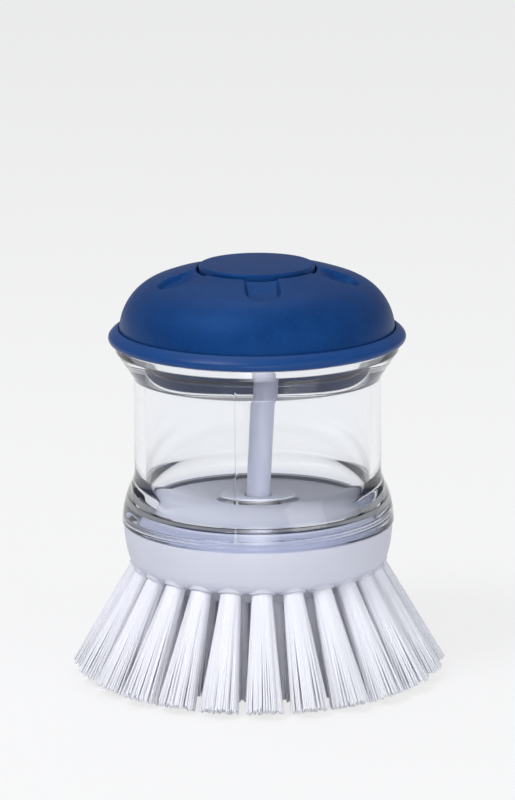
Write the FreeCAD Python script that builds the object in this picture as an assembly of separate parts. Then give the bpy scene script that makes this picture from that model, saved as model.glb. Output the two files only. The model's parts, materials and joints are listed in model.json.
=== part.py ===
import FreeCAD, Part

import math
import os

# A round palm brush that feeds soap to its bristles. Millimetres, +Z up, the front of the brush faces -Y.
# The origin is the centre of the bristle tips' plane, so the brush stands on z = 0.

Vec = FreeCAD.Vector
axis_z = Vec(0, 0, 1)
origin = Vec(0, 0, 0)

# Clearances
seat_gap = 0.05
slide_gap = 0.1
snap_gap = 0.15
drop_gap = 0.2
joint_gap = 0.1

# Reservoir
neck_radius = 24.65
neck_wall = 2.15
neck_length = 19.0
skirt_swell = 2.55
skirt_wall = 1.9
skirt_height = 10.9
skirt_upper_arc = 6.5
flare_swell = 3.55
flare_height = 5.3
flare_lip = 1.4
collar_wall = 1.5
collar_height = 2.3
bead_height = 0.5
bead_width = 1.6

# Screw thread between the reservoir and the floor plate
thread_pitch = 3.0
thread_sweep = 180.0
thread_section = 0.65
thread_clear = 0.15
thread_lead_in = 0.7

# Brush block, from the bristle tips upwards
trim_length = 19.4
block_height = 11.6
block_step = 0.3
block_taper = 1.4
block_side_height = 8.0
block_side_bulge = 0.35
land_width = 4.0
land_drop = 2.0
land_round = 4.0
lip_wall = 0.4
lip_height = 0.3
lip_root = 1.5
foot_step = 1.0
recess_depth = 2.0

# Floor plate that closes the reservoir and holds the valve
plate_wall = 1.8
plate_top = 1.8
well_depth = 2.2
pocket_depth = 5.4
pocket_wall = 1.5
pocket_floor = 1.5

# Valve and its spring
button_travel = 3.0
disc_radius = 7.5
disc_thickness = 0.9
disc_room = 0.8
hub_radius = 3.2
hub_length = 3.8
socket_depth = 3.0
pin_radius = 1.5
pin_tail = 0.6
port_gap = 1.2
plug_radius = 4.2
plug_tip_radius = 3.0
plug_height = 2.95
plug_cone = 1.2
outlet_gap = 1.3
spring_mean_radius = 3.95
spring_wire = 0.7
spring_turns = 5.0
spring_reserve = 0.5
spring_room = 0.4

# Push rod
rod_radius = 2.4
rod_lean = 3.0
rod_side_room = 0.4
foot_room = 0.3

# Gaskets
gasket_thickness = 0.7
base_gasket_width = 1.5
cap_gasket_width = 1.2

# Cap shell and its soft cover
rim_overhang = 1.4
rim_roll = 1.0
rim_turn = 38.0
rim_stand = 0.8
rim_ledge = 2.2
dome_base = 2.2
dome_shoulder = 11.0
dome_height = 13.95
cover_thickness = 1.8
shell_wall = 1.5
seat_ring_height = 1.2
groove_count = 5
groove_phase = 4.0
groove_depth = 1.1
groove_width = 7.2
groove_reach = 21.0

# Button
button_radius = 11.5
button_gap = 0.4
button_proud = 0.65
button_crown = 0.4
button_skin = 2.4
flange_thickness = 1.2
cup_floor = 1.5
cup_wall = 1.5
sleeve_wall = 1.5
sleeve_drop = 3.0
pusher_wall = 2.0
pusher_catch = 0.7
catch_height = 1.4
rod_cover = 4.0
oring_section = 0.5
oring_room = 0.05
oring_margin = 0.35

# Tufts and the staples that hold them
tuft_radius = 2.0
outer_phase = 1.6
middle_phase = 9.1
inner_phase = -5.9
lobe_count = 9
lobe_depth = 0.6
hole_depth = 6.0
ring_share = 0.2553
outer_count = 24
outer_length = 24.0
outer_flare = 1.8
middle_count = 16
middle_tilt = 14.0
middle_flare = 1.4
inner_count = 10
inner_tilt = 5.0
inner_flare = 1.2
staple_bite = 0.3
staple_thickness = 0.4
staple_height = 0.95

# Radii worked out from the sizes above
bore_radius = neck_radius - neck_wall
skirt_radius = neck_radius + skirt_swell
skirt_bore = skirt_radius - skirt_wall
flare_radius = neck_radius + flare_swell
collar_radius = bore_radius + collar_wall
cap_bore = collar_radius + snap_gap
plate_radius = skirt_bore - thread_section - thread_clear
block_rim_radius = skirt_radius - block_step
block_low_radius = block_rim_radius - block_taper
land_inner_radius = block_low_radius - land_width
block_foot_radius = land_inner_radius - foot_step
rim_radius = flare_radius + rim_overhang
dome_radius = rim_radius - rim_ledge
socket_radius = rod_radius + foot_room
port_radius = pin_radius + port_gap
spring_outer = spring_mean_radius + spring_wire / 2
pocket_radius = spring_outer + spring_room
pocket_outer = pocket_radius + pocket_wall
well_radius = disc_radius + disc_room
outlet_radius = plug_radius + outlet_gap
button_hole = button_radius + button_gap
hole_radius = tuft_radius + slide_gap
staple_length = 2 * (hole_radius + staple_bite)

# Levels worked out from the sizes above
block_top_z = trim_length + block_height
recess_z = block_top_z - recess_depth
skirt_low_z = block_top_z + joint_gap
thread_low_z = skirt_low_z + thread_lead_in
thread_high_z = thread_low_z + thread_pitch * thread_sweep / 360
floor_z = thread_high_z + thread_section + thread_clear
shoulder_z = floor_z + gasket_thickness + 2 * seat_gap
neck_low_z = skirt_low_z + skirt_height
neck_high_z = neck_low_z + neck_length
flare_edge_z = neck_high_z + flare_height
flare_top_z = flare_edge_z + flare_lip
collar_top_z = flare_top_z + collar_height
well_z = floor_z - well_depth
pocket_z = well_z - pocket_depth
seat_z = pocket_z - pocket_floor
spring_length = pocket_depth + button_travel + spring_reserve
disc_low_z = pocket_z + spring_length + 2 * seat_gap
disc_top_z = disc_low_z + disc_thickness
plug_top_z = seat_z - seat_gap
plug_low_z = plug_top_z - plug_height
cap_low_z = flare_top_z + joint_gap
dome_z = cap_low_z + dome_base
cap_seat_z = collar_top_z + gasket_thickness + 2 * seat_gap

# The tuft rings: the outer one stands square on the block's sloping land
land_low_z = block_top_z - block_side_height - land_drop
land_z = land_low_z + land_drop / 2
land_radius = block_low_radius - land_width / 2
land_tilt = math.degrees(math.atan2(land_drop, land_width))
ring_step = land_radius * ring_share
middle_ring = land_radius - ring_step
inner_ring = middle_ring - ring_step

# The dome's crown is an arc tangent to its shoulder arc
shoulder_center = dome_radius - dome_shoulder
crown_rise = dome_height - dome_shoulder
crown_radius = (shoulder_center ** 2 + dome_height ** 2 - dome_shoulder ** 2) / (2 * crown_rise)
crown_center_z = dome_z + dome_height - crown_radius
crown_angle = math.atan2(shoulder_center, crown_radius - dome_height)


def dome_top(radius, depth=0.0):
    """Height of the crown at a radius, on a surface that lies a depth under the outside."""
    return crown_center_z + math.sqrt((crown_radius - depth) ** 2 - radius ** 2)


button_edge_z = dome_top(button_hole) + button_proud
flange_top_z = button_edge_z - button_skin
flange_low_z = flange_top_z - flange_thickness
cup_z = flange_low_z - button_travel - drop_gap
sleeve_low_z = cup_z - cup_floor - sleeve_drop
foot_z = disc_top_z - socket_depth + seat_gap + rod_radius
ceiling_z = flange_top_z - rod_cover
rod_top_z = ceiling_z - seat_gap - rod_radius
rod_offset = (rod_top_z - foot_z) * math.tan(math.radians(rod_lean))
pusher_bore = rod_offset + rod_radius + rod_side_room
pusher_radius = pusher_bore + pusher_wall
sleeve_bore = pusher_radius + slide_gap
sleeve_radius = sleeve_bore + sleeve_wall
oring_z = cup_z - oring_section - oring_margin
oring_center = sleeve_bore - oring_room - oring_section


def point(radius, z):
    return Vec(radius, 0, z)


def outline(start, *steps):
    """Closed wire of (radius, z) points; a step of two points is an arc through the first of them."""
    edges = []
    here = start
    for step in steps + (start,):
        if isinstance(step[0], tuple):
            edges.append(Part.Arc(point(*here), point(*step[0]), point(*step[1])).toShape())
            here = step[1]
        elif math.dist(here, step) > 1e-6:
            edges.append(Part.LineSegment(point(*here), point(*step)).toShape())
            here = step
    return Part.Wire(edges)


def turned(start, *steps):
    return Part.Face(outline(start, *steps)).revolve(origin, axis_z, 360)


def ring(inner, outer, low, high):
    return turned((inner, low), (outer, low), (outer, high), (inner, high))


def arc_point(center, radius, angle):
    return (center[0] + radius * math.cos(angle), center[1] + radius * math.sin(angle))


def tangent_middle(start, toward, end):
    """Middle of the arc from start to end whose centre lies at the angle toward, seen from start."""
    chord = (end[0] - start[0], end[1] - start[1])
    reach = chord[0] * math.cos(toward) + chord[1] * math.sin(toward)
    radius = (chord[0] ** 2 + chord[1] ** 2) / (2 * reach)
    center = arc_point(start, radius, toward)
    last = math.atan2(end[1] - center[1], end[0] - center[0])
    return arc_point(center, radius, (toward - math.pi + last) / 2)


def dome_arcs(depth, start_angle, end_radius):
    """Steps from the dome's shoulder up to a radius on its crown, on a surface under the outside."""
    shoulder = (shoulder_center, dome_z)
    small = dome_shoulder - depth
    meet = math.pi / 2 - crown_angle
    end = (end_radius, dome_top(end_radius, depth))
    crown = (0, crown_center_z)
    half = (crown_angle + math.asin(end_radius / (crown_radius - depth))) / 2
    return (
        (arc_point(shoulder, small, (start_angle + meet) / 2), arc_point(shoulder, small, meet)),
        (arc_point(crown, crown_radius - depth, math.pi / 2 - half), end),
    )


def dome_arcs_down(depth, start_radius, end_angle):
    """The same arcs from the crown down to the shoulder."""
    shoulder = (shoulder_center, dome_z)
    up = dome_arcs(depth, end_angle, start_radius)
    low = arc_point(shoulder, dome_shoulder - depth, end_angle)
    return (up[1][0], up[0][1]), (up[0][0], low)


def helix(radius, start_z, pitch, angle):
    """Point and unit tangent of a right-hand helix."""
    rise = pitch / (2 * math.pi)
    place = Vec(radius * math.cos(angle), radius * math.sin(angle), start_z + rise * angle)
    along = Vec(-radius * math.sin(angle), radius * math.cos(angle), rise)
    return place, along.normalize()


def arc_from(start, along, end):
    """Arc that leaves a point along a tangent and reaches another point."""
    chord = end - start
    side = chord - along * chord.dot(along)
    bend = chord.dot(chord) / (2 * side.Length)
    center = start + side * (bend / side.Length)
    middle = (start + end) * 0.5 - center
    return Part.Arc(start, center + middle.normalize() * bend, end).toShape()


def biarc(start, start_along, end, end_along):
    """Two tangent arcs between two points with given tangents."""
    span = end - start
    both = start_along + end_along
    spread = 2 * (1 - start_along.dot(end_along))
    reach = span.dot(both)
    arm = (-reach + math.sqrt(reach ** 2 + spread * span.dot(span))) / spread
    joint = (start + end + (start_along - end_along) * arm) * 0.5
    joint_along = (joint - start - start_along * arm).normalize()
    return arc_from(start, start_along, joint), arc_from(joint, joint_along, end)


def helix_tube(radius, section, start_z, pitch, start_angle, sweep):
    """Round tube on a helix, as one pipe on biarcs of at most a quarter turn."""
    spans = math.ceil(abs(sweep) / 90)
    angles = [math.radians(start_angle + sweep * i / spans) for i in range(spans + 1)]
    base_z = start_z - pitch * start_angle / 360
    stops = [helix(radius, base_z, pitch, angle) for angle in angles]
    edges = []
    for (p, t), (q, u) in zip(stops, stops[1:]):
        edges.extend(biarc(p, t, q, u))
    profile = Part.Wire(Part.Circle(stops[0][0], stops[0][1], section).toShape())
    return Part.Wire(edges).makePipeShell([profile], True, False)


def ring_places(count, ring_radius, root_z, tilt, phase):
    """One placement per tuft: its origin on the block's face, +Z out along the tuft, +X along the ring."""
    lean = math.radians(tilt)
    places = []
    for i in range(count):
        turn = math.radians(phase - 90 + 360 * i / count)
        root = Vec(ring_radius * math.cos(turn), ring_radius * math.sin(turn), root_z)
        out = Vec(math.sin(lean) * math.cos(turn), math.sin(lean) * math.sin(turn), -math.cos(lean))
        round_the_ring = Vec(-math.sin(turn), math.cos(turn), 0)
        turned_to = FreeCAD.Rotation(round_the_ring, out.cross(round_the_ring), out, "ZXY")
        places.append(FreeCAD.Placement(root, turned_to))
    return places


outer_places = ring_places(outer_count, land_radius, land_z, land_tilt, outer_phase)
middle_places = ring_places(middle_count, middle_ring, trim_length, middle_tilt, middle_phase)
inner_places = ring_places(inner_count, inner_ring, trim_length, inner_tilt, inner_phase)


def placed(shape, places):
    copies = []
    for place in places:
        copy = shape.copy()
        copy.Placement = place
        copies.append(copy)
    return copies


def brush_block():
    side_low_z = block_top_z - block_side_height
    side_middle = (
        (block_rim_radius + block_low_radius) / 2 + block_side_bulge,
        (block_top_z + side_low_z) / 2,
    )
    recess = plate_radius + slide_gap
    valve_bore = pocket_outer + slide_gap
    body = turned(
        (outlet_radius, trim_length),
        (block_foot_radius, trim_length),
        (land_inner_radius, land_low_z),
        (block_low_radius, side_low_z),
        (side_middle, (block_rim_radius, block_top_z)),
        (recess, block_top_z),
        (recess, recess_z),
        (valve_bore, recess_z),
        (valve_bore, seat_z),
        (outlet_radius, seat_z),
    )
    corner = [e for e in body.Edges if e.distToShape(Part.Vertex(block_low_radius, 0, side_low_z))[0] < 1e-6]
    body = body.makeFillet(land_round, [e for e in corner if e.Closed])
    lip = Part.makeCylinder(hole_radius + lip_wall, lip_root + lip_height, Vec(0, 0, -lip_root))
    body = body.fuse(placed(lip, outer_places))
    hole = Part.makeCylinder(hole_radius, hole_depth + 1, Vec(0, 0, -hole_depth))
    slot_length = staple_length + 2 * slide_gap
    slot_width = staple_thickness + 2 * seat_gap
    slot_depth = staple_height + seat_gap
    slot = Part.makeBox(
        slot_length,
        slot_width,
        slot_depth,
        Vec(-slot_length / 2, -slot_width / 2, -hole_depth - slot_depth),
    )
    socket = hole.fuse(slot).removeSplitter()
    return body.cut(placed(socket, outer_places + middle_places + inner_places))


def thread(radius, start_z, start_angle):
    return helix_tube(radius, thread_section, start_z, thread_pitch, start_angle, thread_sweep)


def floor_plate():
    body = turned(
        (plate_radius - plate_wall, recess_z),
        (plate_radius, recess_z),
        (plate_radius, floor_z),
        (well_radius, floor_z),
        (well_radius, well_z),
        (pocket_radius, well_z),
        (pocket_radius, pocket_z),
        (port_radius, pocket_z),
        (port_radius, seat_z),
        (pocket_outer, seat_z),
        (pocket_outer, well_z - plate_top),
        (well_radius + plate_top, well_z - plate_top),
        (well_radius + plate_top, floor_z - plate_top),
        (plate_radius - plate_wall, floor_z - plate_top),
    )
    return body.fuse(thread(plate_radius, thread_low_z, 0)).removeSplitter()


def valve_stem():
    socket_low_z = disc_top_z - socket_depth
    pin_low_z = plug_low_z - pin_tail
    hub_low_z = disc_low_z - hub_length
    return turned(
        (0, pin_low_z),
        (pin_radius, pin_low_z),
        (pin_radius, hub_low_z),
        (hub_radius, hub_low_z),
        (hub_radius, disc_low_z),
        (disc_radius, disc_low_z),
        (disc_radius, disc_top_z),
        (socket_radius, disc_top_z),
        (socket_radius, socket_low_z),
        (0, socket_low_z),
    )


def valve_plug():
    bore = pin_radius + seat_gap
    return turned(
        (bore, plug_low_z),
        (plug_tip_radius, plug_low_z),
        (plug_radius, plug_low_z + plug_cone),
        (plug_radius, plug_top_z),
        (bore, plug_top_z),
    )


def return_spring():
    start_z = pocket_z + seat_gap + spring_wire / 2
    pitch = (spring_length - spring_wire) / spring_turns
    steps = 48
    points = [
        helix(spring_mean_radius, start_z, pitch, 2 * math.pi * i / steps)[0]
        for i in range(int(steps * spring_turns) + 1)
    ]
    gap = min(
        p.distanceToPoint(q) - spring_wire
        for i, p in enumerate(points)
        for q in points[i + steps // 2:]
    )
    print("return_spring least gap to itself: %.2f mm" % gap)
    return helix_tube(spring_mean_radius, spring_wire / 2, start_z, pitch, 0, 360 * spring_turns)


def push_rod():
    length = (rod_top_z - foot_z) / math.cos(math.radians(rod_lean))
    tilt = math.sqrt(0.5) * rod_radius
    rod = turned(
        (0, -rod_radius),
        ((tilt, -tilt), (rod_radius, 0)),
        (rod_radius, length),
        ((tilt, length + tilt), (0, length + rod_radius)),
    )
    rod.rotate(origin, Vec(0, 1, 0), rod_lean)
    rod.translate(Vec(0, 0, foot_z))
    return rod


def reservoir():
    drop = neck_low_z - skirt_low_z
    swell = skirt_radius - neck_radius
    turn = 2 * math.atan2(swell, drop)
    lower_arc = drop / math.sin(turn) - skirt_upper_arc
    upper = (neck_radius + skirt_upper_arc, neck_low_z)
    lower = (skirt_radius - lower_arc, skirt_low_z)
    bead_z = (flare_top_z + collar_top_z) / 2
    body = turned(
        (skirt_bore, skirt_low_z),
        (skirt_radius, skirt_low_z),
        (arc_point(lower, lower_arc, turn / 2), arc_point(lower, lower_arc, turn)),
        (
            arc_point(upper, skirt_upper_arc, math.pi + turn / 2),
            (neck_radius, neck_low_z),
        ),
        (neck_radius, neck_high_z),
        (flare_radius, flare_edge_z),
        (flare_radius, flare_top_z),
        (collar_radius, flare_top_z),
        (collar_radius, bead_z - bead_width / 2),
        ((collar_radius + bead_height, bead_z), (collar_radius, bead_z + bead_width / 2)),
        (collar_radius, collar_top_z),
        (bore_radius, collar_top_z),
        (bore_radius, shoulder_z),
        (skirt_bore, shoulder_z),
    )
    return body.fuse(thread(skirt_bore, thread_low_z, 180)).removeSplitter()


def cap_shell():
    under = cover_thickness + seat_gap
    inside = under + shell_wall
    ledge = dome_radius + seat_gap
    turn = math.radians(rim_turn)
    roll_center = (rim_radius - rim_roll, cap_low_z + rim_roll)
    roll_end = arc_point(roll_center, rim_roll, turn)
    rim_top = (ledge, dome_z + rim_stand)
    slope_middle = tangent_middle(roll_end, turn + math.pi, rim_top)
    seat_ring_z = cap_seat_z + seat_ring_height
    shell_low_angle = math.asin((seat_ring_z - dome_z) / (dome_shoulder - inside))
    shell_low = arc_point((shoulder_center, dome_z), dome_shoulder - inside, shell_low_angle)
    cup_outer = button_hole + cup_wall
    floor_low_z = cup_z - cup_floor
    bead_z = (flare_top_z + collar_top_z) / 2
    return turned(
        (cap_bore, cap_low_z),
        (roll_center[0], cap_low_z),
        ((rim_radius, roll_center[1]), roll_end),
        (slope_middle, rim_top),
        (ledge, dome_z),
        (dome_radius - under, dome_z),
        *dome_arcs(under, 0, button_hole),
        (button_hole, cup_z),
        (sleeve_bore, cup_z),
        (sleeve_bore, sleeve_low_z),
        (sleeve_radius, sleeve_low_z),
        (sleeve_radius, floor_low_z),
        (cup_outer, floor_low_z),
        (cup_outer, dome_top(cup_outer, inside)),
        *dome_arcs_down(inside, cup_outer, shell_low_angle),
        (bore_radius, shell_low[1]),
        (bore_radius, cap_seat_z),
        (cap_bore, cap_seat_z),
        (cap_bore, bead_z + bead_width / 2),
        ((cap_bore + bead_height, bead_z), (cap_bore, bead_z - bead_width / 2)),
    )


def grip_cover():
    cover = turned(
        (dome_radius - cover_thickness, dome_z),
        (dome_radius, dome_z),
        *dome_arcs(0, 0, button_hole),
        (button_hole, dome_top(button_hole, cover_thickness)),
        *dome_arcs_down(cover_thickness, button_hole, 0),
    )
    tip = groove_reach - groove_width / 2
    low = point(0, dome_z)
    slot = Part.makeBox(tip, groove_width, dome_height, low - Vec(0, groove_width / 2, 0))
    slot = slot.fuse(Part.makeCylinder(groove_width / 2, dome_height, point(tip, dome_z)))
    cutter = slot.cut(Part.makeSphere(crown_radius - groove_depth, point(0, crown_center_z)))
    for i in range(groove_count):
        groove = cutter.copy()
        groove.rotate(origin, axis_z, groove_phase - 90 + 360 * i / groove_count)
        cover = cover.cut(groove)
    return cover


def cap_gasket():
    low_z = collar_top_z + seat_gap
    return ring(collar_radius - cap_gasket_width, collar_radius, low_z, low_z + gasket_thickness)


def base_gasket():
    low_z = floor_z + seat_gap
    outer = plate_radius - drop_gap
    return ring(outer - base_gasket_width, outer, low_z, low_z + gasket_thickness)


def button_disc():
    crown = (button_radius ** 2 + button_crown ** 2) / (2 * button_crown)
    top_z = button_edge_z + button_crown
    disc = Part.makeCylinder(button_radius, top_z - flange_top_z, point(0, flange_top_z))
    return disc.common(Part.makeSphere(crown, point(0, top_z - crown)))


def button_pusher():
    catch_top_z = sleeve_low_z - drop_gap
    catch_low_z = catch_top_z - catch_height
    catch_radius = pusher_radius + pusher_catch
    slot_radius = oring_center - oring_section - oring_room
    slot_half = oring_section + oring_room
    return turned(
        (pusher_bore, catch_low_z),
        (pusher_radius, catch_low_z),
        (catch_radius, catch_top_z),
        (pusher_radius, catch_top_z),
        (pusher_radius, oring_z - slot_half),
        (slot_radius, oring_z - slot_half),
        (slot_radius, oring_z + slot_half),
        (pusher_radius, oring_z + slot_half),
        (pusher_radius, flange_low_z),
        (button_radius, flange_low_z),
        (button_radius, flange_top_z),
        (0, flange_top_z),
        (0, ceiling_z),
        (pusher_bore, ceiling_z),
    )


def button_oring():
    return Part.makeTorus(oring_center, oring_section, Vec(0, 0, oring_z), axis_z)


def lobed(radius, depth, z):
    """Level outline of arcs that bulge to a radius and meet at valleys of a given depth."""
    def spot(reach, step):
        turn = math.pi * step / lobe_count
        return Vec(reach * math.cos(turn), reach * math.sin(turn), z)
    low = radius - depth
    arcs = [
        Part.Arc(spot(low, 2 * i), spot(radius, 2 * i + 1), spot(low, 2 * i + 2)).toShape()
        for i in range(lobe_count)
    ]
    return Part.Wire(arcs)


def tufts(places, length, flare):
    """Flared tufts from the bottoms of their holes, trimmed flat where they reach the tips' plane."""
    root = -hole_depth + seat_gap
    tip_radius = tuft_radius + flare
    held = lobed(tuft_radius, 0, root)
    mouth = lobed(tuft_radius, 0, 0)
    tip = lobed(tip_radius, lobe_depth, length)
    tuft = Part.makeLoft([held, mouth, tip], True, True)
    reach = land_radius + length + tip_radius
    above = Part.makeBox(2 * reach, 2 * reach, block_top_z, Vec(-reach, -reach, 0))
    return Part.makeCompound([copy.common(above) for copy in placed(tuft, places)])


def staples(places):
    plate = Part.makeBox(
        staple_length,
        staple_thickness,
        staple_height,
        Vec(-staple_length / 2, -staple_thickness / 2, -hole_depth - staple_height),
    )
    return Part.makeCompound(placed(plate, places))


def past_tips(tilt, flare):
    """Length of a tuft that reaches the tips' plane all round its end."""
    lean = math.radians(tilt)
    return trim_length / math.cos(lean) + (tuft_radius + flare) * math.tan(lean)


pieces = {
    "brush_block": brush_block(),
    "floor_plate": floor_plate(),
    "return_spring": return_spring(),
    "valve_stem": valve_stem(),
    "valve_plug": valve_plug(),
    "push_rod": push_rod(),
    "reservoir": reservoir(),
    "base_gasket": base_gasket(),
    "cap_gasket": cap_gasket(),
    "cap_shell": cap_shell(),
    "grip_cover": grip_cover(),
    "button_disc": button_disc(),
    "button_pusher": button_pusher(),
    "button_oring": button_oring(),
    "tufts_outer": tufts(outer_places, outer_length, outer_flare),
    "tufts_middle": tufts(middle_places, past_tips(middle_tilt, middle_flare), middle_flare),
    "tufts_inner": tufts(inner_places, past_tips(inner_tilt, inner_flare), inner_flare),
    "staples_outer": staples(outer_places),
    "staples_middle": staples(middle_places),
    "staples_inner": staples(inner_places),
}

os.makedirs("parts", exist_ok=True)
for name, shape in pieces.items():
    shape.exportStep("parts/%s.step" % name)
    print("%s: %d solids, %.1f mm3" % (name, len(shape.Solids), shape.Volume))
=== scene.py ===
import json
import math

import bmesh
import bpy
import numpy as np
from mathutils import Matrix, Vector


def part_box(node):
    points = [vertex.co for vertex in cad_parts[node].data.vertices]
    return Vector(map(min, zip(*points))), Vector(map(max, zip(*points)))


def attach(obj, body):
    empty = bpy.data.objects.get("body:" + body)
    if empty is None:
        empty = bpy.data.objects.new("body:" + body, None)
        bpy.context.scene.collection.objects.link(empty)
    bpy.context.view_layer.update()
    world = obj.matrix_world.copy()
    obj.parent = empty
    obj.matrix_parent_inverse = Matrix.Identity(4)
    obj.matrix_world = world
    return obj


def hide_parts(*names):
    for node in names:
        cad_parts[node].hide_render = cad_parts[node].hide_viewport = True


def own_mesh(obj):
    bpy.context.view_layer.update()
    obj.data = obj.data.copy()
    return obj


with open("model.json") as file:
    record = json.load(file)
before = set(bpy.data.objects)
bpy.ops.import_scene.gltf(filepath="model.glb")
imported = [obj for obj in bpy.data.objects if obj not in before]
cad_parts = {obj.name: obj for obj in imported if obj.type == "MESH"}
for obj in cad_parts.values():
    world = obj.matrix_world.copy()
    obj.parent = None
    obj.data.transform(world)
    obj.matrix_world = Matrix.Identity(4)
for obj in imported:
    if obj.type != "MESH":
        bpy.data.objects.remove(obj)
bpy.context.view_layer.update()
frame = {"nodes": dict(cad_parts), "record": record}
scene = bpy.context.scene
mm = 0.001

cameraSet = {
    "place": (0.0, -900.0, 262.5),  # mm, the photo's viewpoint
    "aim": (0.0, 0.0, 55.65),
    "lens": 208.5,
    "sensor": 36.0,
    "roll": -0.35,  # degrees
    "near": 10.0,
}


def aimed(place, aim):
    # where a camera or lamp stands and how it turns to look at a point, both in mm
    start = Vector(place) * mm
    look = (Vector(aim) * mm - start).to_track_quat("-Z", "Y")
    return Matrix.Translation(start) @ look.to_matrix().to_4x4()


def addCamera(s):
    data = bpy.data.cameras.new("camera")
    data.lens = s["lens"]
    data.sensor_width = s["sensor"]
    data.clip_start = s["near"] * mm
    camera = bpy.data.objects.new("camera", data)
    scene.collection.objects.link(camera)
    roll = Matrix.Rotation(math.radians(s["roll"]), 4, "Z")
    camera.matrix_world = aimed(s["place"], s["aim"]) @ roll
    scene.camera = camera


addCamera(cameraSet)
print("camera placed")


class Wire:
    # a shader socket that takes part in sums; each sum adds its Math node
    def __init__(self, tree, socket=None):
        self.tree = tree
        self.socket = socket

    def put(self, target, value):
        # link a wire to a socket, or set the socket to a number, vector or colour
        if isinstance(value, Wire):
            self.tree.links.new(value.socket, target)
        elif target.type == "RGBA":
            target.default_value = value + (1.0,)
        else:
            target.default_value = value

    def node(self, kind, settings=None, sockets=None, out=0):
        # any node: its type, its settings, then the values or links of its sockets
        made = self.tree.nodes.new(kind)
        for name, value in (settings or {}).items():
            setattr(made, name, value)
        for key, value in (sockets or {}).items():
            self.put(made.inputs[key], value)
        return Wire(self.tree, made.outputs[out])

    def maths(self, operation, first, second):
        return self.node("ShaderNodeMath", {"operation": operation}, {0: first, 1: second})

    def ray(self, kind):
        # 1 for rays of one kind, else 0
        return self.node("ShaderNodeLightPath", out=f"Is {kind} Ray")

    def clamp(self):
        return self.node("ShaderNodeClamp", None, {0: self})

    def mix(self, first, second):
        # colour between two, with this wire as the factor; 6, 7 and 2 are the colour sockets
        sockets = {0: self, 6: first, 7: second}
        return self.node("ShaderNodeMix", {"data_type": "RGBA"}, sockets, out=2)

    def scaled(self, scale):
        # coordinates stretched by a vector
        sockets = {0: self, 1: scale}
        return self.node("ShaderNodeVectorMath", {"operation": "MULTIPLY"}, sockets)

    def noise(self, scale, detail=3.0, roughness=0.5):
        sockets = {"Vector": self, "Scale": scale, "Detail": detail, "Roughness": roughness}
        return self.node("ShaderNodeTexNoise", None, sockets)

    def __add__(self, other):
        return self.maths("ADD", self, other)

    def __radd__(self, other):
        return self.maths("ADD", other, self)

    def __sub__(self, other):
        return self.maths("SUBTRACT", self, other)

    def __rsub__(self, other):
        return self.maths("SUBTRACT", other, self)

    def __mul__(self, other):
        return self.maths("MULTIPLY", self, other)

    def __rmul__(self, other):
        return self.maths("MULTIPLY", other, self)


class Finish:
    # a material with its shader, its object coordinates and what feeds them
    def __init__(self, name, fixed):
        self.material = bpy.data.materials.new(name)
        self.material.use_nodes = True
        tree = self.material.node_tree
        self.shader = tree.nodes["Principled BSDF"]
        self.wire = Wire(tree)
        self.place = self.wire.node("ShaderNodeTexCoord", out="Object")  # metres
        for socket, value in fixed.items():
            self.feed(socket, value)

    def feed(self, socket, value):
        self.wire.put(self.shader.inputs[socket], value)

    def blend(self, factor, other):
        # the shader gives way to another one by a factor
        skin = Wire(self.wire.tree, self.shader.outputs[0])
        both = self.wire.node("ShaderNodeMixShader", None, {0: factor, 1: skin, 2: other})
        self.wire.put(self.wire.tree.nodes["Material Output"].inputs["Surface"], both)

    def bump(self, height, depth, strength=1.0):
        sockets = {"Height": height, "Distance": depth, "Strength": strength}
        self.feed("Normal", self.wire.node("ShaderNodeBump", None, sockets))


softGrip = {
    "deep": (0.0030, 0.028, 0.122),
    "lit": (0.0055, 0.049, 0.194),
    # pale flecks on the grain's tops paint its sparkle: painted glint
    "fleck": (0.030, 0.100, 0.300),
    "fleckFrom": 0.58,  # grain height where the painted glints start
    "fleckGain": 6.0,
    "fleckShare": 0.45,
    "mottleScale": 220.0,
    "mottleHeight": 0.6,
    "grainScale": 3600.0,  # about 0.3 mm moulded grain
    "grainDepth": 0.00006,
    "roughness": 0.36,
    "mottleRough": 0.12,
    "grainRough": 0.06,
    "gloss": 0.4,
    "glossTint": (0.12, 0.38, 1.0),  # the sheen keeps the blue
}


def softGripFinish(s):
    made = Finish("softGrip", {"Specular IOR Level": s["gloss"], "Specular Tint": s["glossTint"]})
    mottle = made.place.noise(s["mottleScale"], detail=4.0)
    grain = made.place.noise(s["grainScale"], detail=2.0, roughness=0.6)
    # painted glint: the grain's highest spots turn pale blue
    fleck = ((grain - s["fleckFrom"]) * s["fleckGain"]).clamp() * s["fleckShare"]
    body = mottle.mix(s["deep"], s["lit"])
    made.feed("Base Color", fleck.mix(body, s["fleck"]))
    made.feed("Roughness", s["roughness"] + mottle * s["mottleRough"] + grain * s["grainRough"])
    made.bump(grain + mottle * s["mottleHeight"], s["grainDepth"])
    return made.material


capBlue = {
    "deep": (0.0060, 0.048, 0.190),
    "lit": (0.0090, 0.064, 0.240),
    "mottleScale": 160.0,
    "scuffScale": 900.0,
    "scuffStretch": (1.0, 1.0, 9.0),
    "scuffDepth": 0.000012,
    "roughness": 0.28,
    "scuffRough": 0.16,
    "gloss": 0.22,
}


def capBlueFinish(s):
    made = Finish("capBlue", {"Specular IOR Level": s["gloss"]})
    mottle = made.place.noise(s["mottleScale"])
    scuff = made.place.scaled(s["scuffStretch"]).noise(s["scuffScale"], roughness=0.65)
    made.feed("Base Color", mottle.mix(s["deep"], s["lit"]))
    made.feed("Roughness", s["roughness"] + scuff * s["scuffRough"])
    made.bump(scuff + mottle, s["scuffDepth"])
    return made.material


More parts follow.
